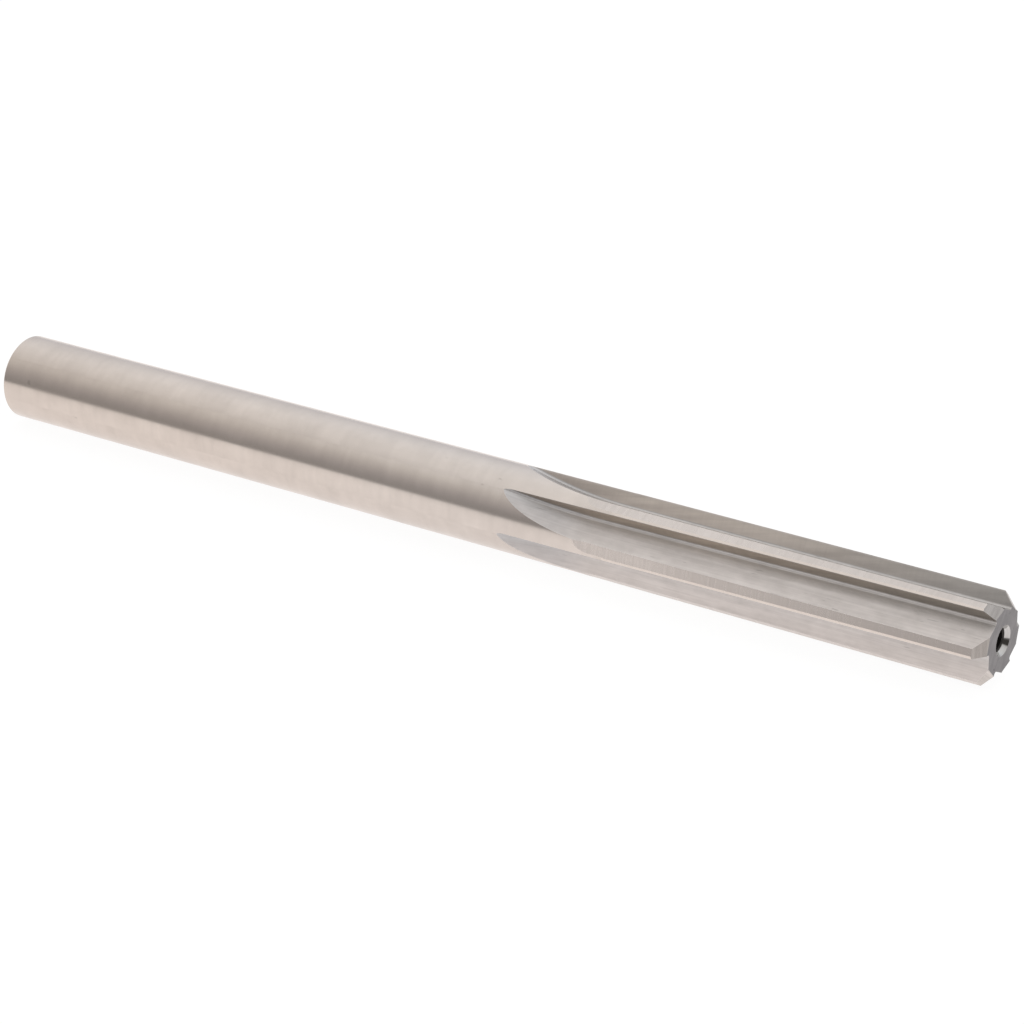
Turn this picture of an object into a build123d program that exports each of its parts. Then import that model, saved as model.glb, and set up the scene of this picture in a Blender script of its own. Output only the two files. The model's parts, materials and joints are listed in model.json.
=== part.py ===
from build123d import *
import os
from math import acos, cos, degrees, radians, sin, tan

# Machine reamer with straight flutes and a straight shank, in millimetres and degrees.
# It lies on its shank: +X runs from the shank's end to the cutting end, +Z is up,
# and the origin is on the surface that it lies on, under the middle of its length.

# Body
overall_length = 82.2
shank_diameter = 6.32
shank_chamfer = 0.2
cutting_diameter = 6.35
cutting_length = 28.2
neck_length = 0.25

# Teeth, seen from the cutting end, with the flute ahead of each rake face
tooth_count = 6
first_tooth_angle = 5.6
land_angle = 13.6
flute_depth = 1.125
flute_root_radius = 0.2
flute_full_length = 28.7
flute_wheel_radius = 33.0

# Margin that keeps the full diameter, and the relief ground behind it
margin_width = 0.18
relief_angle = 15.0
relief_length = 29.4
relief_wheel_radius = 10.0

# Lead at the cutting end: one relieved facet on each tooth, around a flat face
lead_length = 0.71
tip_face_diameter = 4.76
lead_relief_angle = 12.0

# Female centres: a cone for the machine's centre, and a drilled pilot behind it
centre_angle = 60.0
centre_mouth_diameter = 2.12
pilot_diameter = 1.6
pilot_length = 2.0
drill_point_angle = 118.0

# Worked out from the sizes above
shank_radius = shank_diameter / 2
cutting_radius = cutting_diameter / 2
tip_face_radius = tip_face_diameter / 2
floor_radius = cutting_radius - flute_depth
tooth_pitch = 360 / tooth_count
tool_reach = max(shank_radius, cutting_radius)

# Room that a cutter keeps outside the metal
overrun = 1.0


def turned_blank():
    """The round body: chamfered shank, and the larger diameter that the teeth are ground in."""
    neck_front = overall_length - cutting_length
    neck_back = neck_front - neck_length
    outline = Polyline(
        (0, 0),
        (0, shank_radius - shank_chamfer),
        (shank_chamfer, shank_radius),
        (neck_back, shank_radius),
        (neck_front, cutting_radius),
        (overall_length, cutting_radius),
        (overall_length, 0),
        close=True,
    )
    return revolve(make_face(outline), Axis.X)


def centre_drill():
    """The space of a female centre with its mouth at x = 0, going in along +X."""
    mouth_radius = centre_mouth_diameter / 2
    pilot_radius = pilot_diameter / 2
    cone_depth = (mouth_radius - pilot_radius) / tan(radians(centre_angle / 2))
    pilot_end = cone_depth + pilot_length
    point_length = pilot_radius / tan(radians(drill_point_angle / 2))
    outline = Polyline(
        (0, 0),
        (0, mouth_radius),
        (cone_depth, pilot_radius),
        (pilot_end, pilot_radius),
        (pilot_end + point_length, 0),
        close=True,
    )
    return revolve(make_face(outline), Axis.X)


def section_plane(distance_from_tip):
    """The plane across the tool at a distance from its tip, with Y and Z as its own axes."""
    station = overall_length - distance_from_tip
    return Plane(origin=(station, 0, 0), x_dir=(0, 1, 0), z_dir=(1, 0, 0))


def wheel_pass(section, full_length, wheel_radius, foot, across):
    """The space that a grinding wheel clears: straight from the tip, then lifting out in an arc.

    foot is a point on the section's lowest line, and across is that line's direction. The
    wheel's axis is parallel to it, one wheel radius above the foot.
    """
    plane = section_plane(full_length)
    blank_section = plane * section
    straight = extrude(blank_section, amount=full_length + overrun)
    upward = Vector(-across.Y, across.X)
    wheel_centre = foot + upward * wheel_radius
    wheel_axis = Axis(plane.from_local_coords(wheel_centre), (0, across.X, across.Y))
    lift = tool_reach + overrun - foot.length
    run_out_angle = degrees(acos(1 - lift / wheel_radius))
    run_out = revolve(blank_section, wheel_axis, revolution_arc=run_out_angle)
    return straight + run_out


def flute_cutter():
    """One flute: a radial rake face, a small root radius, and a hollow back up to the next heel."""
    heel_angle = radians(tooth_pitch - land_angle)
    heel = (cutting_radius * cos(heel_angle), cutting_radius * sin(heel_angle))
    root_start = (floor_radius + flute_root_radius, 0)
    root_end = (floor_radius, flute_root_radius)
    root = TangentArc(root_start, root_end, tangent=(-1, 0))
    back = TangentArc(root_end, heel, tangent=(0, 1))
    beyond_heel = back @ 1 + (back % 1) * overrun
    top = max(beyond_heel.X, tool_reach) + 2 * overrun
    rim = Polyline(back @ 1, beyond_heel, (top, beyond_heel.Y), (top, 0), root_start)
    section = make_face([root, back, rim])
    foot = Vector(floor_radius, 0)
    return wheel_pass(section, flute_full_length, flute_wheel_radius, foot, Vector(0, -1))


def relief_cutter():
    """The flat ground behind a margin, falling away from the bore that the tool cuts."""
    margin_angle = margin_width / cutting_radius
    outward = Vector(cos(margin_angle), -sin(margin_angle))
    backward = Vector(-sin(margin_angle), -cos(margin_angle))
    margin_back = outward * cutting_radius
    slope = radians(relief_angle)
    falling = backward * cos(slope) - outward * sin(slope)
    land_width = cutting_radius * radians(land_angle)
    far = margin_back + falling * (land_width + margin_width)
    section = make_face(
        Polyline(margin_back, far, far + outward * overrun, margin_back + outward * overrun, close=True)
    )
    return wheel_pass(section, relief_length, relief_wheel_radius, margin_back, falling)


def lead_cutter():
    """The space ahead of one tooth's lead facet, which drops from its cutting edge to its heel."""
    fall = cutting_radius - tip_face_radius
    corner = Vector(overall_length, tip_face_radius, 0)
    edge = Vector(-lead_length, fall, 0).normalized()
    square_on = Vector(fall, lead_length, 0).normalized()
    slope = radians(lead_relief_angle)
    outward = square_on * cos(slope) - Vector(0, 0, 1) * sin(slope)
    facet = Plane(origin=corner, x_dir=edge, z_dir=outward)
    width = 2 * cutting_diameter
    return facet * Box(width, width, cutting_diameter, align=(Align.CENTER, Align.CENTER, Align.MIN))


def around_the_teeth(cutter):
    """A copy of a cutter at every tooth."""
    return [Rot(X=first_tooth_angle + tooth_pitch * tooth) * cutter for tooth in range(tooth_count)]


def reamer():
    """The finished tool, one piece, lying on its shank."""
    body = turned_blank()
    body -= around_the_teeth(flute_cutter())
    body -= around_the_teeth(relief_cutter())
    body -= around_the_teeth(lead_cutter())
    body -= centre_drill()
    body -= Pos(overall_length, 0, 0) * Rot(Z=180) * centre_drill()
    return Pos(-overall_length / 2, 0, shank_radius) * body


os.makedirs("parts", exist_ok=True)
export_step(reamer(), "parts/reamer.step")
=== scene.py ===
"""A straight-flute machine reamer of ground steel, lying on a pale studio floor.

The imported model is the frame. One piece is made here, the reamer itself. Its ground surfaces
are worked out section by section from the solid's sizes, with the slight tilt and hollow that
the wheels gave them, and dressed with the marks that each wheel leaves.
"""

import json
import logging
from dataclasses import dataclass
from enum import IntEnum

import bpy
import numpy as np
from mathutils import Matrix, Vector

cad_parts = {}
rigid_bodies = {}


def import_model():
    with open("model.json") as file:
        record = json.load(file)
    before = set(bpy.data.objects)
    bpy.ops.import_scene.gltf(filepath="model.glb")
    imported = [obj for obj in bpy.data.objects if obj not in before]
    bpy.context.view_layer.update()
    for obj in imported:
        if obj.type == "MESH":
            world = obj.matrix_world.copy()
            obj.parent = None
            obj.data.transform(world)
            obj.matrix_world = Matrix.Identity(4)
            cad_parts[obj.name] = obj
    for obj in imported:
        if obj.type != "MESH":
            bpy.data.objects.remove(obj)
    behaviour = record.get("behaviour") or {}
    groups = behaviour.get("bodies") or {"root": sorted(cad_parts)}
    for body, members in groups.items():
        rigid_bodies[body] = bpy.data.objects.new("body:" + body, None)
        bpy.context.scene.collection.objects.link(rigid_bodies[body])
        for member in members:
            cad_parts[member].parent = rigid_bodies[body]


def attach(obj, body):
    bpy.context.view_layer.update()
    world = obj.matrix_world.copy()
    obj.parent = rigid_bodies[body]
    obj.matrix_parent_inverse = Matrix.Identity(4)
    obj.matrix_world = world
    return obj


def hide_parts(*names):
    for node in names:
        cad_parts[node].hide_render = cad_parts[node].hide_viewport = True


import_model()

LOG = logging.getLogger("reamer")
MM = 0.001
MICRON = 0.000001

Array = np.ndarray
Socket = bpy.types.NodeSocket
Tree = bpy.types.ShaderNodeTree
Colour = tuple[float, float, float]
Point = tuple[float, float, float]
Stops = tuple[tuple[float, Colour], ...]

WHITE = (1.0, 1.0, 1.0, 1.0)

# Points that round to the same step, of this many in a millimetre, are one vertex.
STEPS_PER_MM = 20000

# How far, in millimetres and in radians, one surface has to be from another to count as apart.
CLEARANCE = 1e-7
NEAR_ANGLE = 1e-3

# A flat's radius is worked out up to this angle from its own direction, in radians.
FLAT_REACH = 1.2

# Added to a difference that may be nothing, before something is divided by it.
TINY = 1e-15

# A distance from every edge at which there is no wear and no painted highlight, in millimetres.
NO_EDGE = 5.0

# The value that noise lies around.
MIDDLE = 0.5

# Grinding marks: the waves' scale against that of the fine marks, and the share of each.
WAVE_SCALE = (0.45, 0.45, 1.0)
FINE_SHARE = 0.6
WAVE_SHARE = 0.4

# How far noise rises from a fleck's edge to its full shade.
FLECK_SOFTNESS = 0.05

# The share of its width that the edges' wear and painted highlight always reach.
LEAST_WEAR_AND_HIGHLIGHT = 0.4

# Shifts of the marks' third coordinate, so that surfaces don't repeat each other's marks.
TOOTH_SHIFT = 7.3
FLUTE_SHIFT = 3.1
FACE_SHIFT = 40.0
FLECK_SHIFT = 17.0


# Meshes


class Ground(IntEnum):
    """The kinds of ground surface on the tool. Each one's number is its material slot."""

    SHANK = 0
    LAND = 1
    BACK = 2
    RAKE = 3
    LEAD = 4
    END = 5
    CENTRE = 6
    PILOT = 7
    MARGIN = 8


class Crease(IntEnum):
    """Groups of faces that meet smoothly. The blank's and the centre's rows count on from theirs."""

    BLANK = 0
    LAND = 10
    LEAD = 20
    FLUTE = 30
    FACE = 40
    CENTRE = 50


@dataclass
class Band:
    """A strip of surface between two creases: one grid of points, rows along and columns around.

    `points`, `marks` and `rim` have one row for each station of the sweep. `marks` holds the
    coordinates that the grinding marks follow, and `rim` the distance to the nearest edge.
    `finish` and `crease` have one value for each row of cells, and `tone` is a share of its
    finish's colour for the whole strip, which paints in the shade and light on its tooth.
    """

    points: Array
    marks: Array
    rim: Array
    finish: Array
    crease: Array
    tone: Colour = (1.0, 1.0, 1.0)

    def triangles(self) -> tuple[Array, ...]:
        """Split each cell of the grid into two triangles, wound so that they face outwards.

        Returns:
            The corner points, marks, rims and tones of every triangle, then its finish and its
            crease group, with one row for each triangle.
        """
        rows, columns = self.points.shape[:2]
        index = np.arange(rows * columns).reshape(rows, columns)
        a, b = index[:-1, :-1].ravel(), index[1:, :-1].ravel()
        c, d = index[1:, 1:].ravel(), index[:-1, 1:].ravel()
        corners = np.concatenate([np.stack([a, b, c], 1), np.stack([a, c, d], 1)])
        return (
            self.points.reshape(-1, 3)[corners],
            self.marks.reshape(-1, 3)[corners],
            self.rim.reshape(-1)[corners],
            np.broadcast_to(self.tone, (*corners.shape, 3)),
            np.tile(np.repeat(self.finish, columns - 1), 2),
            np.tile(np.repeat(self.crease, columns - 1), 2),
        )


def closed_mesh(name: str, bands: list[Band]) -> bpy.types.Mesh:
    """Join bands into one closed mesh, with sharp edges where two crease groups meet.

    Corner points that coincide become one vertex, and a triangle that has lost a side goes.

    Args:
        name: The mesh's name.
        bands: The strips that cover the surface, in millimetres.

    Returns:
        The mesh, in metres, smooth between its creases.
    """
    parts = [band.triangles() for band in bands]
    points, marks, rim, tone, finish, crease = (np.concatenate(column) for column in zip(*parts))
    keys = np.round(points.reshape(-1, 3) * STEPS_PER_MM).astype(np.int64)
    _, first, vertex = np.unique(keys, axis=0, return_index=True, return_inverse=True)
    vertex = vertex.reshape(-1, 3)
    a, b, c = vertex.T
    whole = (a != b) & (b != c) & (c != a)
    mesh = bpy.data.meshes.new(name)
    mesh.from_pydata(points.reshape(-1, 3)[first] * MM, [], vertex[whole])
    mesh.polygons.foreach_set("material_index", finish[whole].astype(np.int32))
    mesh.polygons.foreach_set("use_smooth", np.ones(np.count_nonzero(whole), bool))
    for label, kind, slot, values in (
        ("grind", "FLOAT_VECTOR", "vector", marks),
        ("tone", "FLOAT_VECTOR", "vector", tone),
        ("rim", "FLOAT", "value", rim),
    ):
        store = mesh.attributes.new(label, kind, "CORNER")
        store.data.foreach_set(slot, values[whole].reshape(-1).astype(np.float32))
    mark_creases(mesh, crease[whole])
    mesh.update()
    return mesh


def mark_creases(mesh: bpy.types.Mesh, crease: Array) -> None:
    """Mark each edge sharp whose two faces lie in different crease groups.

    Args:
        mesh: A mesh of triangles.
        crease: The crease group of each triangle.
    """
    edge = np.empty(len(mesh.loops), np.int32)
    mesh.loops.foreach_get("edge_index", edge)
    group = np.repeat(crease, 3)
    low = np.full(len(mesh.edges), np.iinfo(np.int64).max)
    high = np.full(len(mesh.edges), -1)
    np.minimum.at(low, edge, group)
    np.maximum.at(high, edge, group)
    sharp = mesh.attributes.new("sharp_edge", "BOOLEAN", "EDGE")
    sharp.data.foreach_set("value", low != high)


def spread(start: Array, end: Array, columns: int) -> Array:
    """Even steps from start to end at each station: start + (end - start) times 0 to 1.

    Args:
        start: The first value of each row.
        end: The last value of each row.
        columns: How many cells lie between them.

    Returns:
        One row for each station, with columns + 1 values.
    """
    share = np.linspace(0.0, 1.0, columns + 1)
    return start[:, None] + (end - start)[:, None] * share[None, :]


def vectors(*parts: Array | float) -> Array:
    """Three coordinates as one array of vectors, each spread over the shape that they share."""
    return np.stack(np.broadcast_arrays(*parts), -1)


def placed(name: str, data: bpy.types.ID) -> bpy.types.Object:
    """Make an object at the origin and link it into the scene.

    Args:
        name: The object's name.
        data: Its mesh or camera.

    Returns:
        The new object.
    """
    made = bpy.data.objects.new(name, data)
    bpy.context.scene.collection.objects.link(made)
    return made


# The reamer's form


@dataclass(frozen=True)
class Blank:
    """The turned blank: shank, neck and cutting cylinder, with sizes in millimetres."""

    length: float = 82.2
    shank_radius: float = 3.16
    shank_chamfer: float = 0.2
    cutting_radius: float = 3.172
    cutting_length: float = 28.2
    neck_length: float = 0.25

    @property
    def neck_end(self) -> float:
        """Where the neck has come down to the shank, as a distance from the cutting end."""
        return self.cutting_length + self.neck_length

    @property
    def chamfer_start(self) -> float:
        """Where the shank's chamfer starts, as a distance from the cutting end."""
        return self.length - self.shank_chamfer

    def radius(self, station: Array) -> Array:
        """The blank's radius: straight lines between its corners.

        Args:
            station: Distances from the cutting end.

        Returns:
            The radius at each.
        """
        corners = (
            (0.0, self.cutting_radius),
            (self.cutting_length, self.cutting_radius),
            (self.neck_end, self.shank_radius),
            (self.chamfer_start, self.shank_radius),
            (self.length, self.shank_radius - self.shank_chamfer),
        )
        return np.interp(station, *zip(*corners))


@dataclass(frozen=True)
class Centre:
    """A female centre: a cone, a drilled pilot and the drill's point, in millimetres and degrees.

    The machine's centre has polished the cone from one radius outwards. The drill's point, the
    pilot and the strip of cone inside that radius are `drilled_rows` rows that stay as drilled,
    dark with the painted shade of the deep hole.
    """

    angle: float = 60.0
    mouth_radius: float = 1.06
    polished_from: float = 0.87
    pilot_radius: float = 0.8
    pilot_length: float = 2.0
    point_angle: float = 118.0
    drilled_rows: int = 3

    def profile(self) -> tuple[Array, Array]:
        """The hole's outline, which turns around the axis: straight lines between its corners.

        Returns:
            Depth and radius of each corner, from the drill's point out to the mouth.
        """
        steep = np.tan(np.radians(self.angle / 2))
        cone = (self.mouth_radius - self.pilot_radius) / steep
        worn = (self.mouth_radius - self.polished_from) / steep
        end = cone + self.pilot_length
        point = end + self.pilot_radius / np.tan(np.radians(self.point_angle / 2))
        corners = (
            (point, 0.0),
            (end, self.pilot_radius),
            (cone, self.pilot_radius),
            (worn, self.polished_from),
            (0.0, self.mouth_radius),
        )
        depth, radius = np.array(corners).T
        return depth, radius


def greys(*shares: float) -> tuple[Colour, ...]:
    """A neutral colour for each share: red, green and blue are the same."""
    return tuple((share, share, share) for share in shares)


@dataclass(frozen=True)
class ToothToneAndShade:
    """Shares of their finish's colour for each tooth's faces, with painted shade and light in them.

    The teeth are counted as they are built. They face different ways, and the shares paint in
    the shade and light that fall differently on each, over small differences from grinding each
    one on its own. `body` is the blank's own surface.
    """

    rake: tuple[Colour, ...] = (
        *greys(1.0), (1.04, 1.04, 1.05), (0.905, 0.86, 0.81), *greys(1.0, 0.95, 1.03),
    )
    root: tuple[Colour, ...] = greys(1.0, 1.0, 1.02, 0.965, 1.02, 0.97)
    back: tuple[Colour, ...] = greys(1.0, 0.98, 1.01, 0.955, 1.02, 0.97)
    land: tuple[Colour, ...] = greys(1.0, 1.03, 0.99, 1.07, 0.97, 1.04)
    lead: tuple[Colour, ...] = greys(1.0, 0.66, 0.89, 0.80, 1.16, 0.95)
    body: Colour = (1.0, 1.0, 1.0)


@dataclass(frozen=True)
class Teeth:
    """The ground teeth, with sizes in millimetres and degrees, as seen from the cutting end.

    In a tooth's own section the cutting edge lies on the first axis at the tip, the flute ahead
    of it is on the side of the second axis, and the heel is behind it. The wheels pass a little
    out of line with the axis, so all cuts but the heel move ahead with the distance from the tip.
    `over_rim` is how far outside the rim a flute's section starts, and `past_heel` how long its
    arc is as a share of the arc up to the heel. `samples` and `halvings` are how finely its ends
    are looked for.
    """

    blank: Blank = Blank()
    count: int = 6
    first_angle: float = 3.2
    land_angle: float = 11.0
    tilt: float = 0.0095
    flute_depth: float = 1.125
    root_radius: float = 0.2
    flute_full_length: float = 28.7
    flute_wheel: float = 33.0
    over_rim: float = 0.3
    past_heel: float = 1.18
    margin_width: float = 0.18
    relief_angle: float = 15.0
    relief_hollow: float = 45.0
    relief_length: float = 29.4
    relief_wheel: float = 10.0
    lead_length: float = 0.71
    tip_face_radius: float = 2.38
    lead_relief_angle: float = 12.0
    samples: int = 1600
    halvings: int = 50

    @property
    def pitch(self) -> float:
        """The angle from one tooth to the next, in radians."""
        return 2 * np.pi / self.count

    @property
    def floor(self) -> float:
        """The radius that the flute's lowest line keeps."""
        return self.blank.cutting_radius - self.flute_depth

    @property
    def margin(self) -> float:
        """The margin's width as an angle, in radians."""
        return self.margin_width / self.blank.cutting_radius

    def drift(self, station: Array) -> Array:
        """How far round the edge has moved: the angle whose sine is its offset over the radius."""
        return np.arcsin(station * self.tilt / self.blank.cutting_radius)

    def relief_width(self, station: Array) -> Array:
        """How wide the relief is from the margin to the heel, near enough for its hollow."""
        land = np.radians(self.land_angle) + self.drift(station)
        return self.blank.cutting_radius * land - self.margin_width

    def lifted(self, station: Array, full_length: float, wheel: float | Array) -> Array:
        """A wheel's rise t past its full length: R less the root of (R squared less t squared)."""
        beyond = np.clip(station - full_length, 0.0, None)
        return wheel - np.sqrt(wheel**2 - np.minimum(beyond, wheel) ** 2)

    def flute_line(self, u: Array) -> tuple[Array, Array, Array]:
        """The flute's section before it lifts, along u.

        From 0 to 1 it is the radial rake wall, from 1 to 2 a quarter circle at the root, and
        from 2 to 3 an arc tangent to the root's end that passes through the next heel.

        Args:
            u: Where along the section, from 0 to 3.

        Returns:
            Both coordinates of each point, and its distance along the line from the root's middle.
        """
        rim, root, floor = self.blank.cutting_radius, self.root_radius, self.floor
        top = rim + self.over_rim
        wall = np.clip(u, 0, 1)
        turn = np.clip(u - 1, 0, 1) * np.pi / 2
        heel_angle = self.pitch - np.radians(self.land_angle)
        rise = rim * np.cos(heel_angle) - floor
        run = rim * np.sin(heel_angle) - root
        hollow = (rise**2 + run**2) / (2 * rise)
        sweep = np.clip(u - 2, 0, 1) * self.past_heel * np.arcsin(run / hollow)
        x = np.where(u < 1, top + (floor + root - top) * wall, floor + root * (1 - np.sin(turn)))
        y = np.where(u < 1, 0.0, root * (1 - np.cos(turn)))
        x = np.where(u > 2, floor + hollow * (1 - np.cos(sweep)), x)
        y = np.where(u > 2, root + hollow * np.sin(sweep), y)
        along = (turn - np.pi / 4) * root - (1 - wall) * (top - floor - root) + sweep * hollow
        return x, y, along

    def flute_at(self, u: Array, station: Array) -> tuple[Array, Array, Array]:
        """The flute's section at each station, lifted with the wheel.

        The whole section moves along its second axis by the station times the tilt. A point at
        height x turns on a wheel of radius floor + wheel - x, so it rises to floor + wheel minus
        the root of that radius squared less the distance squared.

        Args:
            u: Where along the section, one row for each station.
            station: Distance of each row from the cutting end.

        Returns:
            Radius, angle and distance along the line, with the shape of u.
        """
        x, y, along = self.flute_line(u)
        turning = self.floor + self.flute_wheel - x
        x = x + self.lifted(station[:, None], self.flute_full_length, turning)
        y = y + station[:, None] * self.tilt
        return np.hypot(x, y), np.arctan2(y, x), along

    def lead_line(self, angle: Array, station: Array) -> Array:
        """The lead facet, a plane: its level over the cosine of the angle less slope times the sine.

        Args:
            angle: Angles in a tooth's own section.
            station: Distances from the cutting end.

        Returns:
            The plane's radius at each.
        """
        fall = self.blank.cutting_radius - self.tip_face_radius
        slant = np.hypot(fall, self.lead_length) / self.lead_length
        slope = np.tan(np.radians(self.lead_relief_angle)) * slant
        level = self.tip_face_radius + station * fall / self.lead_length
        return level / (np.cos(angle) - slope * np.sin(angle))

    def relief_level(self, station: Array) -> tuple[float, Array]:
        """The relief flat, which passes through the margin's end and lifts with its wheel.

        Args:
            station: Distances from the cutting end.

        Returns:
            The direction that it faces as an angle, and its distance from the axis.
        """
        slope = np.radians(self.relief_angle)
        level = self.blank.cutting_radius * np.cos(slope)
        lift = self.lifted(station, self.relief_length, self.relief_wheel)
        return -(self.margin + slope), level + lift

    def land_radius(self, angle: Array, station: Array) -> Array:
        """The radius that the blank, the lead facet and the relief leave, whichever is least.

        The relief is hollow: between its two edges it lies lower than the flat by the product
        of the distances to both, over twice the hollow's radius.

        Args:
            angle: Angles in a tooth's frame.
            station: Distances from the cutting end.

        Returns:
            The land's radius at each.
        """
        angle = angle - self.drift(station)
        facing, level = self.relief_level(station)
        behind = np.clip(angle - facing, -FLAT_REACH, FLAT_REACH)
        across = level * (np.tan(behind) - np.tan(np.radians(self.relief_angle)))
        hollow = np.clip(-across * (across + self.relief_width(station)), 0.0, None)
        relief = (level - hollow / (2 * self.relief_hollow)) / np.cos(behind)
        relief = np.where(angle < -self.margin, relief, np.inf)
        radius = np.minimum(self.blank.radius(station), self.lead_line(angle, station))
        return np.minimum(radius, relief)

    def depth_at(self, u: Array, station: Array) -> Array:
        """How far the flute's line lies under the land: more than nothing where it cuts.

        Args:
            u: Where along the flute's section, one row for each station.
            station: Distance of each row from the cutting end.

        Returns:
            The depth, with the shape of u.
        """
        radius, angle, _ = self.flute_at(u, station)
        behind = np.where(angle > self.pitch / 2, angle - self.pitch, angle)
        return self.land_radius(behind, station[:, None]) - radius

    def flute_tip(self) -> tuple[float, float]:
        """Where a flute runs out, found by halving the stretch that it has to be in.

        Returns:
            Its distance from the cutting end, and the place along the flute's section.
        """
        u = np.linspace(0.0, 3.0, self.samples)[None, :]
        near, far = self.flute_full_length, self.blank.length / 2
        for _ in range(self.halvings):
            middle = (near + far) / 2
            open_here = self.depth_at(u, np.array([middle])).max() > 0
            near, far = (middle, far) if open_here else (near, middle)
        best = int(np.argmax(self.depth_at(u, np.array([near]))[0]))
        return near, float(u[0, best])

    def flute_ends(self, station: Array) -> tuple[Array, Array]:
        """Where along its section the flute starts and ends at each station.

        The section is sampled finely, and each end lies on the line between the last sample
        outside the metal and the first one inside.

        Args:
            station: Distances from the cutting end, up to the flute's tip.

        Returns:
            The first and the last u that cut, for each station.
        """
        tip, tip_u = self.flute_tip()
        u = np.linspace(0.0, 3.0, self.samples)
        depth = self.depth_at(np.broadcast_to(u, (len(station), len(u))), station)
        cutting = depth > 0
        row = np.arange(len(station))
        first = np.argmax(cutting, axis=1)
        last = len(u) - 1 - np.argmax(cutting[:, ::-1], axis=1)
        before, after = np.maximum(first - 1, 0), np.minimum(last + 1, len(u) - 1)
        closed = ~cutting.any(axis=1) | (station >= tip)
        ends = []
        for inside, outside in ((first, before), (last, after)):
            gap = depth[row, inside] / (depth[row, inside] - depth[row, outside] + TINY)
            ends.append(np.where(closed, tip_u, u[inside] + gap * (u[outside] - u[inside])))
        return ends[0], ends[1]


@dataclass(frozen=True)
class Spacing:
    """How many sections each stretch of the tool has, and where it starts or ends in millimetres.

    The teeth's stretch is measured from the tip, the shank's start from the flutes' last
    section, and its end from the tool's end. `decimals` is how finely sections are told apart.
    """

    lead: int = 7
    corner: int = 8
    corner_length: float = 0.07
    teeth: int = 14
    teeth_from: float = 1.0
    run_out_step: float = 0.12
    fade: int = 22
    fade_length: float = 1.2
    shank: int = 14
    shank_from: float = 1.0
    shank_to: float = 0.5
    decimals: int = 5


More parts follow.
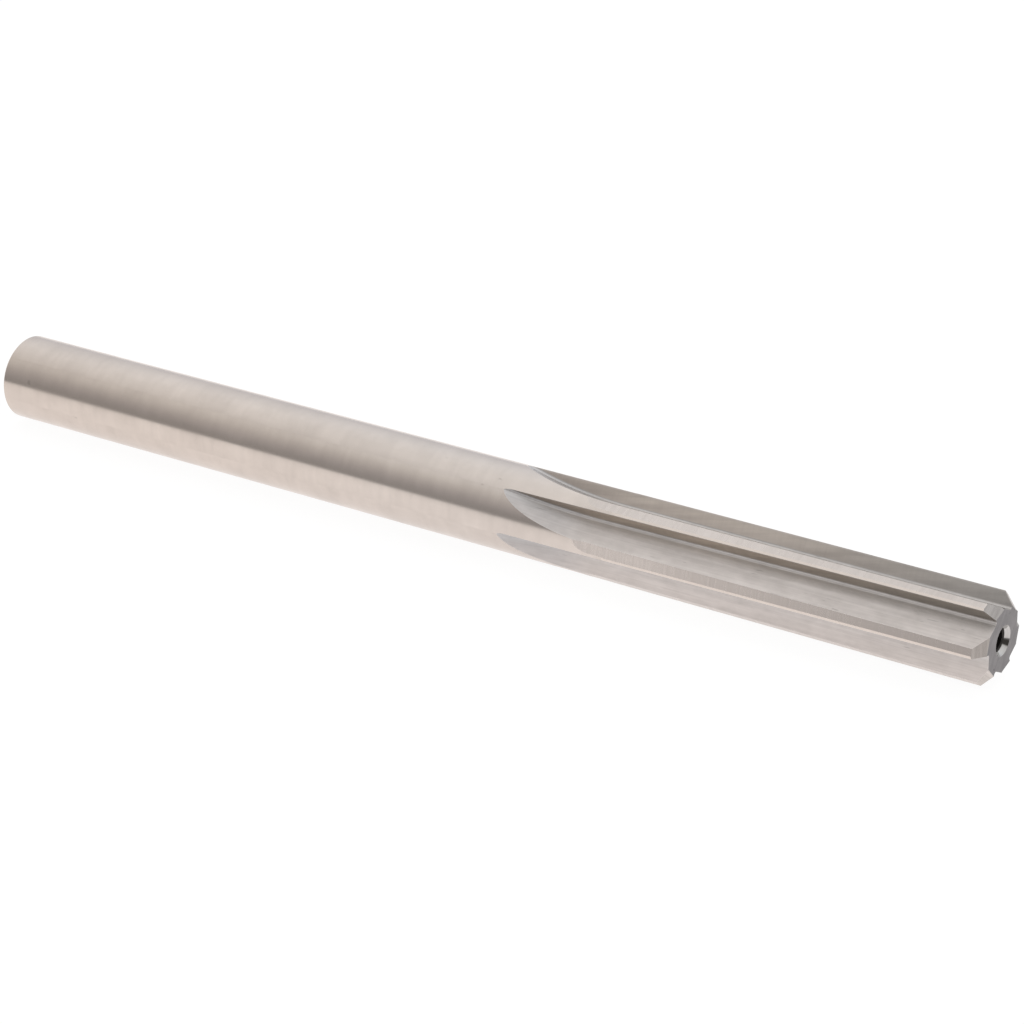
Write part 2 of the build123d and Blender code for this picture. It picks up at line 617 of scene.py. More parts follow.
@dataclass(frozen=True)
class Reamer:
    """The whole tool as one closed mesh, in the frame's place: tip towards +X, lying on its shank.

    The cells are counted around the tool, for each strip of a tooth and of its flute.
    `lead_samples` is how finely the lead facet's ends are looked for, and `wear_and_highlight_length`
    how far past the cutting length the flutes' edges are worn and carry a painted highlight.
    """

    blank: Blank = Blank()
    teeth: Teeth = Teeth()
    centre: Centre = Centre()
    tone_and_shade: ToothToneAndShade = ToothToneAndShade()
    spacing: Spacing = Spacing()
    heel_cells: int = 14
    relief_cells: int = 8
    lead_cells: int = 2
    margin_cells: int = 8
    wall_cells: int = 4
    root_cells: int = 10
    back_cells: int = 20
    lead_samples: int = 3000
    wear_and_highlight_length: float = 9.4

    def stations(self) -> tuple[Array, int]:
        """Distances of the sections from the tip, close together where the shape changes.

        Returns:
            The distances, and how many of them the flutes reach.
        """
        teeth, blank, spacing = self.teeth, self.blank, self.spacing
        tip, _ = teeth.flute_tip()
        lead, full = teeth.lead_length, teeth.flute_full_length
        cut = np.concatenate([
            np.linspace(0.0, lead, spacing.lead),
            np.linspace(lead, lead + spacing.corner_length, spacing.corner),
            np.linspace(spacing.teeth_from, full, spacing.teeth),
            np.arange(full, tip - spacing.fade_length, spacing.run_out_step),
            [teeth.relief_length, blank.cutting_length, blank.neck_end],
            tip - spacing.fade_length * np.linspace(1.0, 0.0, spacing.fade) ** 2,
        ])
        cut = np.unique(np.round(cut, spacing.decimals))
        shank_start, shank_end = cut[-1] + spacing.shank_from, blank.length - spacing.shank_to
        shank = np.linspace(shank_start, shank_end, spacing.shank)
        return np.concatenate([cut, shank, [blank.chamfer_start, blank.length]]), len(cut)

    def place(self, radius: Array, angle: Array, station: Array) -> Array:
        """Points in the frame, in millimetres: station back from the tip, polar about the axis."""
        height = self.blank.shank_radius + radius * np.sin(angle)
        return vectors(self.blank.length / 2 - station, radius * np.cos(angle), height)

    def turn(self, tooth: int) -> float:
        """The angle of a tooth's frame around the axis, in radians."""
        return np.radians(self.teeth.first_angle) + tooth * self.teeth.pitch

    def rows(self, station: Array, kind: Ground, group: Crease) -> tuple[Array, Array]:
        """One finish and one crease group for every row of cells between the stations."""
        return np.full(len(station) - 1, kind), np.full(len(station) - 1, group)

    def blank_rows(self, station: Array) -> tuple[Array, Array]:
        """The rows of cells on the blank's own surface, which changes at each of its corners.

        Args:
            station: Distances of the sections from the tip.

        Returns:
            Finish and crease group of each row.
        """
        blank = self.blank
        middle = (station[:-1] + station[1:]) / 2
        finish = np.where(middle < blank.neck_end, Ground.MARGIN, Ground.SHANK)
        stretch = np.digitize(middle, [blank.cutting_length, blank.neck_end, blank.chamfer_start])
        return finish, Crease.BLANK + stretch

    def land_breaks(self, station: Array, start: Array, end: Array) -> tuple[Array, Array, Array]:
        """Where the surfaces of a land meet.

        A straight cut meets a circle of radius R at its own direction plus and minus the angle
        whose cosine is its distance over R. The lead facet's ends are the first and the last of
        many samples at which it lies under the others.

        Args:
            station: Distances of the sections from the tip.
            start: Angle of the heel at each station, in the tooth's frame.
            end: Angle of the cutting edge at each station.

        Returns:
            The angles from blank to relief, from relief to lead facet, and from there to margin.
        """
        teeth = self.teeth
        circle = self.blank.radius(station)
        drift = teeth.drift(station)
        facing, level = teeth.relief_level(station)
        half = np.arccos(np.clip(level / circle, -1, 1))
        relief_low = np.clip(facing - half + drift, start, end)
        relief_high = np.clip(facing + half + drift, start, end)
        fine = spread(start, end, self.lead_samples)
        own = fine - drift[:, None]
        flat = level[:, None] / np.cos(np.clip(own - facing, -FLAT_REACH, FLAT_REACH))
        others = np.minimum(circle[:, None], flat)
        leading = teeth.lead_line(own, station[:, None]) < others - CLEARANCE
        found = leading.any(axis=1)
        row = np.arange(len(station))
        last = self.lead_samples - np.argmax(leading[:, ::-1], axis=1)
        low = np.where(found, fine[row, np.argmax(leading, axis=1)], relief_high)
        high = np.where(found, fine[row, last], relief_high)
        low = np.where(found & (low <= start + NEAR_ANGLE), start, low)
        high = np.where(found & (high >= end - NEAR_ANGLE), end, high)
        return np.minimum(relief_low, low), low, high

    def land_bands(self, tooth: int, station: Array, bounds: tuple[Array, ...]) -> list[Band]:
        """One tooth's land: the blank's circle, the relief, the lead facet and the margin.

        Args:
            tooth: The tooth's number.
            station: Distances of the sections from the tip.
            bounds: Angles at each station, in the tooth's frame: the heel, the three places
                where the surfaces meet, and the cutting edge.

        Returns:
            Four bands in order of angle.
        """
        start, relief, low, high, end = bounds
        along = station[:, None]
        circle = self.blank.radius(along)
        worn = along <= self.blank.cutting_length + self.wear_and_highlight_length
        own = self.blank_rows(station)
        bands = []
        for first, last, cells, rows, tone in (
            (start, relief, self.heel_cells, own, self.tone_and_shade.body),
            (relief, low, self.relief_cells,
             self.rows(station, Ground.LAND, Crease.LAND), self.tone_and_shade.land[tooth]),
            (low, high, self.lead_cells,
             self.rows(station, Ground.LEAD, Crease.LEAD), self.tone_and_shade.lead[tooth]),
            (high, end, self.margin_cells, own, self.tone_and_shade.body),
        ):
            angle = spread(first, last, cells)
            radius = self.teeth.land_radius(angle, along)
            points = self.place(radius, angle + self.turn(tooth), along)
            marks = vectors(along, angle * circle, tooth * TOOTH_SHIFT)
            rim = np.minimum(angle - start[:, None], end[:, None] - angle) * circle
            bands.append(Band(points, marks, np.where(worn, rim, NO_EDGE), *rows, tone))
        return bands

    def flute_bands(self, tooth: int, station: Array, start: Array, end: Array) -> list[Band]:
        """One flute ahead of a tooth: its rake wall, its root and its hollow back.

        Args:
            tooth: The number of the tooth whose rake face it makes.
            station: Distances of the sections from the tip, up to the flute's tip.
            start: Where the flute's section starts at each station.
            end: Where it ends.

        Returns:
            Three bands in order of angle.
        """
        teeth, tone_and_shade = self.teeth, self.tone_and_shade
        wall_foot, root_end = np.clip(1.0, start, end), np.clip(2.0, start, end)
        _, _, first = teeth.flute_at(start[:, None], station)
        _, _, last = teeth.flute_at(end[:, None], station)
        bands = []
        for low, high, cells, kind, tone in (
            (start, wall_foot, self.wall_cells, Ground.RAKE, tone_and_shade.rake[tooth]),
            (wall_foot, root_end, self.root_cells, Ground.BACK, tone_and_shade.root[tooth]),
            (root_end, end, self.back_cells, Ground.BACK, tone_and_shade.back[tooth]),
        ):
            radius, angle, along = teeth.flute_at(spread(low, high, cells), station)
            points = self.place(radius, angle + self.turn(tooth), station[:, None])
            marks = vectors(station[:, None], along, tooth * TOOTH_SHIFT + FLUTE_SHIFT)
            rim = np.minimum(along - first, last - along)
            bands.append(Band(points, marks, rim, *self.rows(station, kind, Crease.FLUTE), tone))
        return bands

    def end_bands(self, bands: list[Band], row: int, station: float) -> list[Band]:
        """An end face and its centre, joined to the outline that the bands leave on one row.

        The mouth's points are spread round it as the outline's points are along the outline, so
        the face is a fan of cells of which none folds over, even along a radial rake wall.

        Args:
            bands: The bands around the body, in order of angle.
            row: 0 at the tip, or -1 at the shank's end.
            station: The end face's distance from the tip.

        Returns:
            The band of the face and the band of the centre.
        """
        outline = np.concatenate([band.points[row] for band in bands])
        height = outline[:, 2] - self.blank.shank_radius
        length = np.append(0.0, np.cumsum(np.linalg.norm(np.diff(outline, axis=0), axis=1)))
        angle = np.arctan2(height[0], outline[0, 1]) + 2 * np.pi * length / length[-1]
        depth, radius = self.centre.profile()
        inwards = 1.0 if row == 0 else -1.0
        ring = self.place(radius[:, None], angle, (station + inwards * depth)[:, None])
        run = np.append(0.0, np.cumsum(np.hypot(np.diff(depth), np.diff(radius))))
        # Round the hole, the marks' second coordinate is an angle.
        ring_marks = vectors(run[:, None], angle, 0.0)
        ring_rim = np.broadcast_to((run[-1] - run)[:, None], ring.shape[:2])
        finish, crease = self.rows(depth, Ground.CENTRE, Crease.CENTRE)
        finish[:self.centre.drilled_rows] = Ground.PILOT
        crease += np.minimum(np.arange(len(crease)), self.centre.drilled_rows - 1)
        step = np.array([0.0, 0.5, 1.0])[:, None]
        face = ring[-1] * (1 - step[..., None]) + outline * step[..., None]
        face_marks = vectors(face[..., 1], face[..., 2], FACE_SHIFT + row)
        face_width = np.hypot(outline[:, 1], height) - radius[-1]
        face_rim = np.minimum(step, 1 - step) * face_width
        order = slice(None) if row == 0 else slice(None, None, -1)
        sheets = (
            (face, face_marks, face_rim, *self.rows(step, Ground.END, Crease.FACE)),
            (ring, ring_marks, ring_rim, finish, crease),
        )
        return [Band(*(values[order] for values in sheet)) for sheet in sheets]

    def mesh(self) -> bpy.types.Mesh:
        """The whole surface: lands and flutes around the body, then both ends with their centres.

        Returns:
            The closed mesh, without its materials.
        """
        station, reach = self.stations()
        start, end = self.teeth.flute_ends(station[:reach])
        _, edge, _ = self.teeth.flute_at(start[:, None], station[:reach])
        _, heel, _ = self.teeth.flute_at(end[:, None], station[:reach])
        rest = (0, len(station) - reach)
        edge = np.pad(edge[:, 0], rest, mode="edge")
        heel = np.pad(heel[:, 0], rest, mode="edge") - self.teeth.pitch
        bounds = (heel, *self.land_breaks(station, heel, edge), edge)
        around, tail = [], []
        for tooth in range(self.teeth.count):
            land = self.land_bands(tooth, station, bounds)
            around += land + self.flute_bands(tooth, station[:reach], start, end)
            tail += land
        ends = self.end_bands(around, 0, 0.0) + self.end_bands(tail, -1, self.blank.length)
        return closed_mesh("reamer_body", around + ends)

    def dress(self, mesh: bpy.types.Mesh, groups: dict[str, Tree]) -> None:
        """Give the mesh one material for each kind of ground surface, in order of their slots."""
        for kind in Ground:
            mesh.materials.append(FINISHES[kind].material(groups))


# Finishes


def shader_group(name: str, inputs: dict[str, float | None], outputs: tuple[str, ...]) -> Tree:
    """An empty shader node group with named sockets.

    Args:
        name: The group's name.
        inputs: Default value of each input, or None for a vector.
        outputs: Names of its values.

    Returns:
        The group, with its Group Input and Group Output nodes.
    """
    tree = bpy.data.node_groups.new(name, "ShaderNodeTree")
    for label, value in inputs.items():
        kind = "NodeSocketVector" if value is None else "NodeSocketFloat"
        socket = tree.interface.new_socket(label, in_out="INPUT", socket_type=kind)
        if value is not None:
            socket.default_value = value
    for label in outputs:
        tree.interface.new_socket(label, in_out="OUTPUT", socket_type="NodeSocketFloat")
    tree.nodes.new("NodeGroupInput").name = "in"
    tree.nodes.new("NodeGroupOutput").name = "out"
    return tree


def rgba(colour: Colour) -> tuple[float, ...]:
    """A colour with full alpha, as the sockets take it."""
    return (*colour, 1.0)


class Wiring:
    """A short hand for building node trees: nodes with settings, and links by socket."""

    def __init__(self, tree: Tree) -> None:
        """Keep the tree that the nodes go into."""
        self.tree = tree

    def node(self, kind: str, settings: dict | None = None, **sockets: object) -> bpy.types.Node:
        """Add a node.

        Args:
            kind: The node's type.
            settings: Properties to set on it.
            **sockets: Values or output sockets for its inputs, by name with _ for a space, or by
                number as i0, i1 and so on.

        Returns:
            The new node.
        """
        made = self.tree.nodes.new(kind)
        for name, value in (settings or {}).items():
            setattr(made, name, value)
        for name, value in sockets.items():
            numbered = name[0] == "i" and name[1:].isdigit()
            key = int(name[1:]) if numbered else name.replace("_", " ")
            if isinstance(value, Socket):
                self.tree.links.new(value, made.inputs[key])
            else:
                made.inputs[key].default_value = value
        return made

    def result(self, kind: str, settings: dict | None = None, **sockets: object) -> Socket:
        """The first output of a new node."""
        return self.node(kind, settings, **sockets).outputs[0]

    def math(self, operation: str, *values: object, clamp: bool = False) -> Socket:
        """A Math node's result for these values."""
        inputs = {f"i{index}": value for index, value in enumerate(values)}
        return self.result("ShaderNodeMath", {"operation": operation, "use_clamp": clamp}, **inputs)

    def vector_math(self, operation: str, *values: object, output: str = "Vector") -> Socket:
        """A Vector Math node's result for these values."""
        inputs = {f"i{index}": value for index, value in enumerate(values)}
        return self.node("ShaderNodeVectorMath", {"operation": operation}, **inputs).outputs[output]

    def ramp(
        self, value: Socket, low: object, high: object, start: float = 0.0, end: float = 1.0,
    ) -> Socket:
        """A smooth step: 3 t squared less 2 t cubed, where t is the share of the way from low.

        Args:
            value: The value that is stepped.
            low: Up to here the result is start.
            high: From here on the result is end.
            start: The result at the low side.
            end: The result at the high side.

        Returns:
            The stepped value.
        """
        return self.result(
            "ShaderNodeMapRange", {"interpolation_type": "SMOOTHSTEP"},
            Value=value, From_Min=low, From_Max=high, To_Min=start, To_Max=end,
        )

    def noise(self, vector: Socket, scale: float, detail: float, roughness: float) -> Socket:
        """A noise value around one half."""
        inputs = {"Scale": scale, "Detail": detail, "Roughness": roughness}
        return self.node("ShaderNodeTexNoise", Vector=vector, **inputs).outputs["Fac"]

    def attribute(self, name: str, output: str = "Vector") -> Socket:
        """One of the values that the mesh carries at its corners."""
        return self.node("ShaderNodeAttribute", {"attribute_name": name}).outputs[output]

    def parts(self, vector: Socket) -> tuple[Socket, ...]:
        """The three coordinates of a vector."""
        return tuple(self.node("ShaderNodeSeparateXYZ", Vector=vector).outputs)

    def joined(self, x: object, y: object, z: object) -> Socket:
        """A vector of three coordinates."""
        return self.result("ShaderNodeCombineXYZ", X=x, Y=y, Z=z)

    def drawn_out(self, vector: Socket, along: Socket, across: Socket) -> Socket:
        """The marks' coordinates, scaled along the tool and across it."""
        return self.vector_math("MULTIPLY", vector, self.joined(along, across, 1.0))

    def mixed(self, factor: Socket, first: object, second: object, blend: str = "MIX") -> Socket:
        """Two colours mixed by a factor."""
        settings = {"data_type": "RGBA", "blend_type": blend}
        return self.node("ShaderNodeMix", settings, i0=factor, i6=first, i7=second).outputs[2]

    def group(self, tree: Tree, **inputs: object) -> bpy.types.NodeOutputs:
        """The outputs of a shared group for these inputs."""
        return self.node("ShaderNodeGroup", {"node_tree": tree}, **inputs).outputs

    def give(self, **results: Socket) -> None:
        """Link results to a group's own outputs, by name."""
        for name, value in results.items():
            self.tree.links.new(value, self.tree.nodes["out"].inputs[name])


def cleared(owner: bpy.types.Material | bpy.types.World) -> Wiring:
    """Switch a material or a world to nodes, and empty its tree.

    Args:
        owner: The material or the world.

    Returns:
        The wiring of its tree.
    """
    owner.use_nodes = True
    owner.node_tree.nodes.clear()
    return Wiring(owner.node_tree)


def marks_group() -> Tree:
    """Marks of a grinding wheel: noise drawn out one way, over softer waves of the same.

    Inputs are the coordinates in millimetres, marks per millimetre along and across the tool,
    and a turn in radians. Height is the fine noise, and Tone is its share plus that of the
    waves. Both lie around one half.

    Returns:
        The shared group.
    """
    tree = shader_group(
        "grinding marks",
        {"Vector": None, "Along": 3.0, "Across": 0.3, "Turn": 0.0},
        ("Height", "Tone"),
    )
    wiring = Wiring(tree)
    given = tree.nodes["in"].outputs
    turned = wiring.result(
        "ShaderNodeVectorRotate", {"rotation_type": "Z_AXIS"},
        Vector=given["Vector"], Angle=given["Turn"],
    )
    scaled = wiring.drawn_out(turned, given["Along"], given["Across"])
    fine = wiring.noise(scaled, scale=1.0, detail=3.0, roughness=0.6)
    wave = wiring.noise(
        wiring.vector_math("MULTIPLY", scaled, WAVE_SCALE), scale=1.0, detail=1.0, roughness=0.5,
    )
    fine_part = wiring.math("MULTIPLY", fine, FINE_SHARE)
    wave_part = wiring.math("MULTIPLY", wave, WAVE_SHARE)
    wiring.give(Height=fine, Tone=wiring.math("ADD", fine_part, wave_part))
    return tree


def flecks_group() -> Tree:
    """Sparse dull flecks that the wheel skipped: 1 where drawn-out noise rises over a level.

    Inputs are the coordinates in millimetres, flecks per millimetre each way, and the level.

    Returns:
        The shared group.
    """
    tree = shader_group(
        "skipped flecks",
        {"Vector": None, "Along": 1.0, "Across": 6.0, "Level": 0.72},
        ("Mask",),
    )
    wiring = Wiring(tree)
    given = tree.nodes["in"].outputs
    shifted = wiring.vector_math("ADD", given["Vector"], (0.0, 0.0, FLECK_SHIFT))
    scaled = wiring.drawn_out(shifted, given["Along"], given["Across"])
    value = wiring.noise(scaled, scale=1.0, detail=1.5, roughness=0.4)
    high = wiring.math("ADD", given["Level"], FLECK_SOFTNESS)
    wiring.give(Mask=wiring.ramp(value, given["Level"], high))
    return tree


def edge_wear_and_highlight_group() -> Tree:
    """Wear and a painted highlight along an edge: 1 on it, and less with the distance over a reach
    that noise breaks up.

    Inputs are the width in millimetres, and the share of it that noise adds on average.

    Returns:
        The shared group.
    """
    tree = shader_group("edge wear", {"Width": 0.04, "Breakup": 0.6}, ("Mask",))
    wiring = Wiring(tree)
    given = tree.nodes["in"].outputs
    grain = wiring.noise(wiring.attribute("grind"), scale=6.0, detail=3.0, roughness=0.6)
    broken = wiring.math("MULTIPLY", grain, wiring.math("MULTIPLY", given["Breakup"], 1 / MIDDLE))
    reach = wiring.math("MULTIPLY", given["Width"], wiring.math("ADD", LEAST_WEAR_AND_HIGHLIGHT, broken))
    away = wiring.math("DIVIDE", wiring.attribute("rim", "Fac"), reach)
    wiring.give(Mask=wiring.math("SUBTRACT", 1.0, away, clamp=True))
    return tree


class Way(IntEnum):
    """The coordinate of the grinding marks along which a finish fades."""

    ALONG = 0
    ACROSS = 1


@dataclass(frozen=True)
class Marks:
    """One set of grinding marks: their number per millimetre each way, and how much they show.

    `turn` is in degrees, `tone` is the set's share of the colour, and `depth` its height in
    micrometres.
    """

    along: float
    across: float
    turn: float = 0.0
    tone: float = 1.0
    depth: float = 0.0


@dataclass(frozen=True)
class Fade:
    """A tint that is full at one place along a coordinate, in millimetres, and gone at another."""

    way: Way
    full: float
    gone: float
    tint: Colour

    def share(self, wiring: Wiring, place: Socket) -> Socket:
        """How much of the tint there is at a place, as a smooth step.

        Args:
            wiring: The material's tree.
            place: The coordinate that the finish fades along.

        Returns:
            1 where the tint is full, and 0 where it is gone.
        """
        if self.full < self.gone:
            return wiring.ramp(place, self.full, self.gone, 1.0, 0.0)
        return wiring.ramp(place, self.gone, self.full)


@dataclass(frozen=True)
class SteelFinish:
    """Ground steel as one wheel leaves it, with painted shade and light in some of its fades, in
    the strips' tones and on the edges. Colours are linear, and sizes in millimetres.

    The marks swing the colour between `dull` and `bright`, `contrast` times as far as their
    noise, and the roughness by up to `variation` each way. `flecks` holds their number per
    millimetre along and across, and the level of noise that they start at.
    """

    name: str
    bright: Colour
    dull: Colour
    roughness: float
    marks: tuple[Marks, ...]
    fades: tuple[Fade, ...] = ()
    contrast: float = 2.5
    variation: float = 0.04
    flecks: tuple[float, float, float] = (1.0, 6.0, 0.9)
    fleck_tone: float = 0.8
    wear_and_highlight: float = 0.3
    wear_and_highlight_width: float = 0.035

    def material(self, groups: dict[str, Tree]) -> bpy.types.Material:
        """Build the node material.

        Args:
            groups: The shared node groups by name.

        Returns:
            A metal whose colour, roughness and normal follow its grinding marks.
        """
        made = bpy.data.materials.new(self.name)
        wiring = cleared(made)
        vector = wiring.attribute("grind")
        tone: object = MIDDLE
        height: object = 0.0
        for marks in self.marks:
            ground = wiring.group(
                groups["marks"], Vector=vector,
                Along=marks.along, Across=marks.across, Turn=float(np.radians(marks.turn)),
            )
            away = wiring.math("SUBTRACT", ground["Tone"], MIDDLE)
            swing = wiring.math("MULTIPLY", away, self.contrast * marks.tone)
            tone = wiring.math("ADD", swing, tone)
            if marks.depth:
                raised = wiring.math("MULTIPLY", ground["Height"], marks.depth)
                height = wiring.math("ADD", raised, height)
        shown = wiring.mixed(tone, rgba(self.dull), rgba(self.bright))
        for fade in self.fades:
            share = fade.share(wiring, wiring.parts(vector)[fade.way])
            shown = wiring.mixed(share, shown, rgba(fade.tint), "MULTIPLY")
        along, across, level = self.flecks
        skipped = wiring.group(
            groups["flecks"], Vector=vector, Along=along, Across=across, Level=level,
        )["Mask"]
        shown = wiring.mixed(skipped, shown, rgba((self.fleck_tone,) * 3), "MULTIPLY")
        # Each strip's tone paints in the shade and light on its tooth, over its own grinding.
        shown = wiring.vector_math("MULTIPLY", shown, wiring.attribute("tone"))
        # Edges turn pale: burnished wear, and the highlight that their rounding would catch, painted
        # in.
        worn = wiring.group(groups["wear_and_highlight"], Width=self.wear_and_highlight_width)["Mask"]
        shown = wiring.mixed(wiring.math("MULTIPLY", worn, self.wear_and_highlight), shown, rgba(WORN_EDGE_AND_HIGHLIGHT))
        away = wiring.math("SUBTRACT", tone, MIDDLE)
        smoother = wiring.math("MULTIPLY", away, -self.variation / MIDDLE)
        steel = wiring.result(
            "ShaderNodeBsdfPrincipled", Base_Color=shown, Metallic=1.0,
            Roughness=wiring.math("ADD", smoother, self.roughness, clamp=True),
            Normal=wiring.result("ShaderNodeBump", Height=height, Strength=1.0, Distance=MICRON),
        )
        wiring.node("ShaderNodeOutputMaterial", Surface=steel)
        return made


# The pale colour of edges: burnished wear, and the highlight that their rounding would catch, painted
# in.
WORN_EDGE_AND_HIGHLIGHT = (0.88, 0.86, 0.83)
FINISHES = {
    Ground.SHANK: SteelFinish(
        "shank_ground", (0.745, 0.686, 0.638), (0.655, 0.601, 0.558), 0.165,
        (Marks(1.8, 0.3, tone=0.5, depth=0.2), Marks(0.5, 0.5, tone=0.9), Marks(0.12, 0.5, tone=0.5)),
        # Painted reflection: a warmer tint towards the tail end, for the change in what the steel
        # mirrors along its length.
        fades=(Fade(Way.ALONG, 70.0, 36.0, (1.0, 0.98, 0.96)),),
        flecks=(1.3, 1.3, 0.76), fleck_tone=0.85, wear_and_highlight=0.0,
    ),
    Ground.LAND: SteelFinish(
        "relief_ground", (0.75, 0.697, 0.66), (0.636, 0.589, 0.554), 0.28,
        (
            Marks(9.0, 0.7, turn=-30.0, tone=0.3, depth=0.1),
            Marks(6.0, 0.06, tone=0.75, depth=0.12),
            Marks(0.22, 0.35, tone=0.6),
        ),
        wear_and_highlight=0.2,
    ),
    Ground.MARGIN: SteelFinish(
        "margin_ground", (0.79, 0.72, 0.664), (0.71, 0.648, 0.598), 0.165,
        (Marks(2.4, 0.2, tone=0.7, depth=0.15),), wear_and_highlight=0.2,
    ),
    Ground.BACK: SteelFinish(
        "flute_ground", (0.738, 0.695, 0.668), (0.622, 0.586, 0.562), 0.42,
        (
            Marks(0.12, 9.0, tone=0.9, depth=0.9),
            Marks(0.3, 1.4, turn=4.0, tone=0.7),
            Marks(1.4, 2.6, tone=0.7),
        ),
        fades=(
            # Painted shade: darker from the heel side in towards the root.
            Fade(Way.ACROSS, 0.2, 1.7, (0.925, 0.94, 0.95)),
            # Painted light: a brighter strip near the root, for a reflection.
            Fade(Way.ACROSS, 0.15, 0.75, (1.09, 1.11, 1.12)),
            # Painted shade in the root's corner at the rake wall's foot.
            Fade(Way.ACROSS, -0.16, 0.05, (0.74, 0.74, 0.74)),
            # Painted shade: darker where the flute closes towards the shank.
            Fade(Way.ALONG, 33.0, 29.5, (0.91, 0.925, 0.945)),
        ),
        flecks=(0.8, 7.0, 0.72), fleck_tone=0.78,
    ),
    Ground.RAKE: SteelFinish(
        "rake_ground", (0.828, 0.766, 0.69), (0.675, 0.623, 0.562), 0.42,
        (Marks(4.5, 0.4, tone=0.4, depth=0.5), Marks(0.16, 2.0, turn=-12.0, tone=1.6)),
        fades=(
            # Painted shade: darker towards the foot of the rake wall.
            Fade(Way.ACROSS, -0.2, -0.8, (0.86, 0.86, 0.87)),
            Fade(Way.ALONG, -3.0, 24.0, (0.62, 0.66, 0.70)),
            # Painted shade: darker where the flute closes towards the shank.
            Fade(Way.ALONG, 33.0, 27.0, (0.89, 0.88, 0.88)),
        ),
        wear_and_highlight=0.5, wear_and_highlight_width=0.13,
    ),
    Ground.LEAD: SteelFinish(
        "lead_ground", (0.60, 0.565, 0.535), (0.44, 0.415, 0.39), 0.2,
        (Marks(9.0, 0.4, turn=-4.0, tone=1.0, depth=0.8),), wear_and_highlight=0.15,
    ),
    Ground.END: SteelFinish(
        "end_ground", (0.29, 0.285, 0.29), (0.21, 0.207, 0.212), 0.45,
        (Marks(7.0, 0.6, turn=35.0, tone=0.8, depth=0.6), Marks(1.2, 1.2, tone=0.6)),
        flecks=(3.0, 3.0, 0.68), fleck_tone=0.7,
    ),
    Ground.CENTRE: SteelFinish(
        "centre_polished", (0.655, 0.65, 0.64), (0.46, 0.455, 0.446), 0.065,
        (Marks(12.0, 0.8, tone=1.0, depth=0.3),), wear_and_highlight=0.0,
    ),
    # The pilot's dark colour is painted shade of the deep hole.
    Ground.PILOT: SteelFinish(
        "pilot_painted_shade", (0.10, 0.095, 0.09), (0.05, 0.047, 0.045), 0.55,
        (Marks(9.0, 0.4, tone=1.0, depth=1.0),), wear_and_highlight=0.0,
    ),
}


# Studio


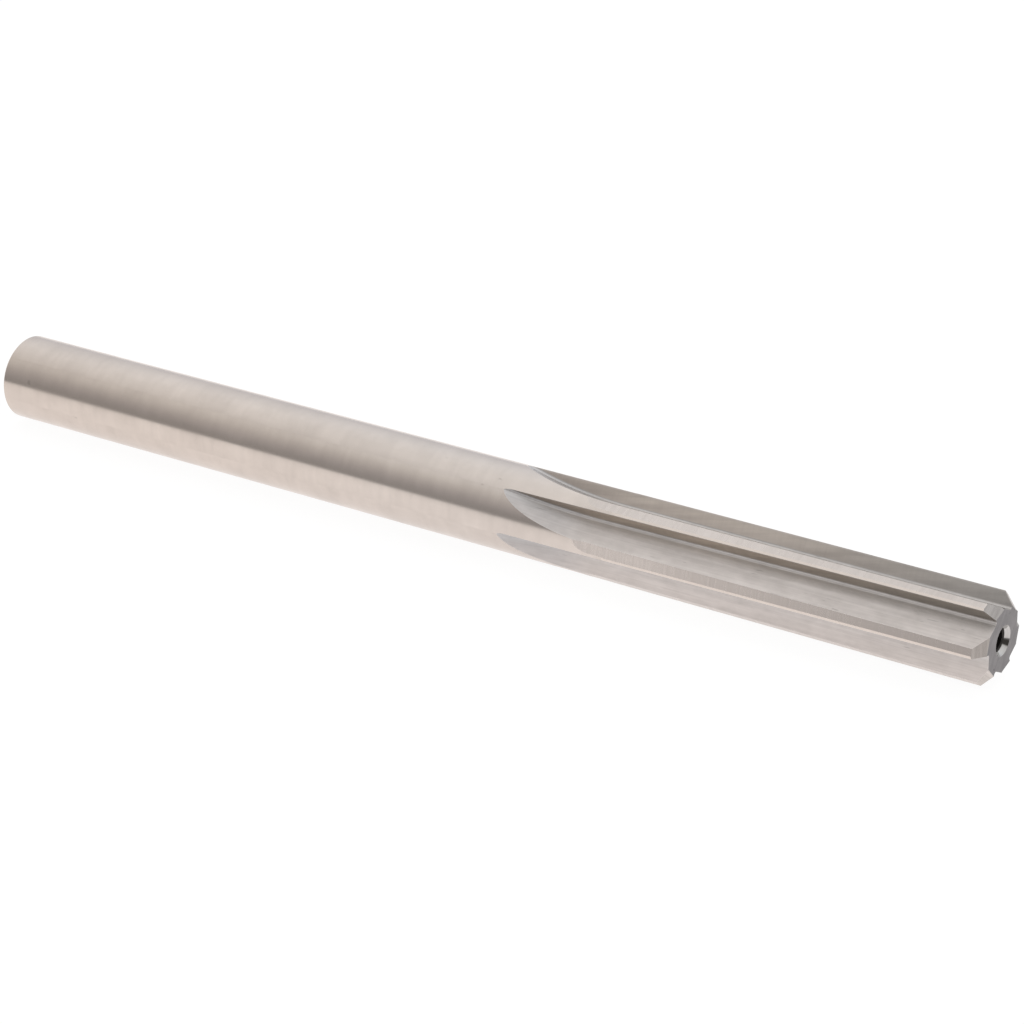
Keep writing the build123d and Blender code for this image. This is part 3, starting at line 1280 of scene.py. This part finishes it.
@dataclass(frozen=True)
class Studio:
    """A pale floor under a soft, uneven sky, and the camera at the photograph's viewing angle.

    The sky's levels stand against the height of the direction, from 0 at the horizon to 1
    overhead, once for the side of the camera and once for the far side. The floor's sheen
    stands against the distance from the tool towards the camera, in metres, and `sheen_scale`
    times that distance is its place on the ramp. The stand's half width and half height are
    shares of its distance, and it fades out between two shares of them. The lens and the sensor
    are in millimetres, and the clipping distances in metres.
    """

    floor_half: float = 4.0
    floor_lines: int = 3
    floor_colour: Colour = (0.15, 0.15, 0.15)
    floor_glow: float = 0.915
    floor_sheen: Stops = (
        (0.000, (0.890, 0.850, 0.840)),
        (0.010, (0.862, 0.820, 0.807)),
        (0.020, (0.815, 0.777, 0.763)),
        (0.035, (0.730, 0.698, 0.685)),
        (0.052, (0.470, 0.450, 0.445)),
        (0.070, (0.268, 0.258, 0.258)),
        (0.100, (0.228, 0.218, 0.218)),
    )
    sheen_scale: float = 10.0
    near_sky: Stops = (
        (0.000, (0.330, 0.315, 0.305)),
        (0.190, (0.390, 0.371, 0.368)),
        (0.345, (0.465, 0.440, 0.433)),
        (0.480, (0.548, 0.523, 0.508)),
        (0.600, (0.648, 0.622, 0.600)),
        (0.700, (0.732, 0.706, 0.685)),
        (0.784, (0.798, 0.775, 0.763)),
        (0.865, (0.890, 0.868, 0.857)),
    )
    far_sky: Stops = (
        (0.000, (0.670, 0.665, 0.690)),
        (0.195, (0.715, 0.707, 0.730)),
        (0.509, (0.855, 0.858, 0.882)),
        (0.691, (0.915, 0.912, 0.923)),
        (0.778, (0.922, 0.912, 0.916)),
        (0.865, (0.912, 0.897, 0.888)),
    )
    side_blend: float = 0.35
    stand_shade: Colour = (0.065, 0.060, 0.055)
    stand_place: Point = (0.595, -0.69, 0.415)
    stand_size: tuple[float, float] = (0.105, 0.38)
    stand_edge: tuple[float, float] = (0.7, 1.3)
    camera_place: Point = (0.116919, -0.172244, 0.096727)
    camera_forward: Point = (-0.501, 0.7598, -0.4144)
    lens: float = 113.73
    sensor: float = 36.0
    clip: tuple[float, float] = (0.005, 50.0)

    def levels(self, wiring: Wiring, value: Socket, stops: Stops) -> Socket:
        """Colours that change in straight steps between stops.

        Args:
            wiring: The tree to build in.
            value: The value that the stops are placed on, from 0 to 1.
            stops: The place and colour of each.

        Returns:
            The colour at the value.
        """
        ramp = wiring.node("ShaderNodeValToRGB", Fac=value)
        elements = ramp.color_ramp.elements
        elements.remove(elements[1])
        elements[0].position = stops[0][0]
        elements[0].color = rgba(stops[0][1])
        for place, colour in stops[1:]:
            elements.new(place).color = rgba(colour)
        return ramp.outputs[0]

    def floor_material(self) -> bpy.types.Material:
        """The floor's material: matt, with a glow for what looks at it and what mirrors it.

        The camera sees plain white, and the steel mirrors the sheen.

        Returns:
            The material.
        """
        made = bpy.data.materials.new("pale_floor")
        wiring = cleared(made)
        path = wiring.node("ShaderNodeLightPath").outputs
        place = wiring.node("ShaderNodeTexCoord").outputs["Object"]
        towards = wiring.math("MULTIPLY", wiring.parts(place)[1], -self.sheen_scale)
        stops = tuple((distance * self.sheen_scale, colour) for distance, colour in self.floor_sheen)
        sheen = self.levels(wiring, towards, stops)
        white = wiring.result("ShaderNodeEmission", Color=WHITE, Strength=self.floor_glow)
        glossy = wiring.result("ShaderNodeEmission", Color=sheen, Strength=path["Is Glossy Ray"])
        straight = wiring.math("MAXIMUM", path["Is Camera Ray"], path["Is Transmission Ray"])
        glow = wiring.result("ShaderNodeMixShader", i0=straight, i1=glossy, i2=white)
        matt = wiring.result("ShaderNodeBsdfDiffuse", Color=rgba(self.floor_colour))
        both = wiring.result("ShaderNodeAddShader", i0=matt, i1=glow)
        wiring.node("ShaderNodeOutputMaterial", Surface=both)
        return made

    def floor(self) -> bpy.types.Object:
        """The floor: a flat grid at height zero, white to the camera, that keeps the tool's shadow.

        Returns:
            The floor's object.
        """
        step = np.linspace(-self.floor_half, self.floor_half, self.floor_lines)
        x, y = np.meshgrid(step, step)
        index = np.arange(x.size).reshape(x.shape)
        corners = (index[:-1, :-1], index[:-1, 1:], index[1:, 1:], index[1:, :-1])
        mesh = bpy.data.meshes.new("floor")
        quads = np.stack(corners, -1).reshape(-1, len(corners))
        mesh.from_pydata(vectors(x, y, 0.0).reshape(-1, 3), [], quads)
        mesh.materials.append(self.floor_material())
        made = placed("floor", mesh)
        return made

    def stand_cover(self, wiring: Wiring, facing: Socket) -> Socket:
        """How far the camera's stand covers a direction: a tall oval on the near side of the sky.

        The distance from its middle is the root of (sideways over the half width) squared plus
        (upwards over the half height) squared, and the oval fades out across `stand_edge`.

        Args:
            wiring: The sky's tree.
            facing: The direction.

        Returns:
            1 on the stand, and 0 away from it.
        """
        towards = Vector(self.stand_place).normalized()
        rising = Vector((1.0, 0.0, 0.0)).cross(towards).normalized()
        width, height = self.stand_size
        offset = wiring.vector_math("SUBTRACT", facing, tuple(towards))
        upwards = wiring.vector_math("DOT_PRODUCT", offset, tuple(rising), output="Value")
        across = wiring.math("DIVIDE", wiring.parts(offset)[0], width)
        oval = wiring.joined(across, wiring.math("DIVIDE", upwards, height), 0.0)
        reach = wiring.vector_math("LENGTH", oval, output="Value")
        near_side = wiring.math("LESS_THAN", wiring.parts(facing)[1], 0.0)
        return wiring.math("MULTIPLY", wiring.ramp(reach, *self.stand_edge, 1.0, 0.0), near_side)

    def sky(self) -> bpy.types.World:
        """A soft studio sky: dim at the near horizon, brighter at the far one and overhead.

        Each side has its own levels by height, and a smooth step across the tool joins them.
        The camera on its stand is a tall dark shape in it, which the cone of the centre mirrors.

        Returns:
            The world, which is plain white to the camera.
        """
        world = bpy.data.worlds.new("soft_sky")
        bpy.context.scene.world = world
        wiring = cleared(world)
        facing = wiring.node("ShaderNodeTexCoord").outputs["Generated"]
        _, beyond, height = wiring.parts(facing)
        side = wiring.ramp(beyond, -self.side_blend, self.side_blend)
        near, far = (self.levels(wiring, height, stops) for stops in (self.near_sky, self.far_sky))
        covered = self.stand_cover(wiring, facing)
        shade = wiring.mixed(covered, wiring.mixed(side, near, far), rgba(self.stand_shade))
        light = wiring.result("ShaderNodeBackground", Color=shade, Strength=1.0)
        white = wiring.result("ShaderNodeBackground", Color=WHITE, Strength=1.0)
        seen = wiring.node("ShaderNodeLightPath").outputs["Is Camera Ray"]
        sky = wiring.result("ShaderNodeMixShader", i0=seen, i1=light, i2=white)
        wiring.node("ShaderNodeOutputWorld", Surface=sky)
        return world

    def camera(self) -> bpy.types.Object:
        """The camera, level from side to side.

        Returns:
            The camera, which is also the scene's own.
        """
        data = bpy.data.cameras.new("camera")
        data.lens, data.sensor_width = self.lens, self.sensor
        data.clip_start, data.clip_end = self.clip
        forward = Vector(self.camera_forward).normalized()
        right = forward.cross(Vector((0, 0, 1))).normalized()
        up = right.cross(forward)
        turn = Matrix((right, up, -forward)).transposed()
        made = placed("camera", data)
        made.matrix_world = Matrix.Translation(Vector(self.camera_place)) @ turn.to_4x4()
        bpy.context.scene.camera = made
        return made


def main() -> None:
    """Build the studio and the tool in order."""
    logging.basicConfig(level=logging.INFO, format="%(message)s")
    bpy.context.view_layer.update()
    bpy.context.scene.view_settings.view_transform = "Standard"
    studio = Studio()
    studio.camera()
    studio.sky()
    studio.floor()
    LOG.info("studio: floor, sky and camera")
    groups = {"marks": marks_group(), "flecks": flecks_group(), "wear_and_highlight": edge_wear_and_highlight_group()}
    reamer = Reamer()
    mesh = reamer.mesh()
    reamer.dress(mesh, groups)
    tool = placed("reamer_body", mesh)
    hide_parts("reamer")
    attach(tool, "root")
    LOG.info("reamer_body: %d triangles", len(mesh.polygons))


if __name__ == "__main__":
    main()
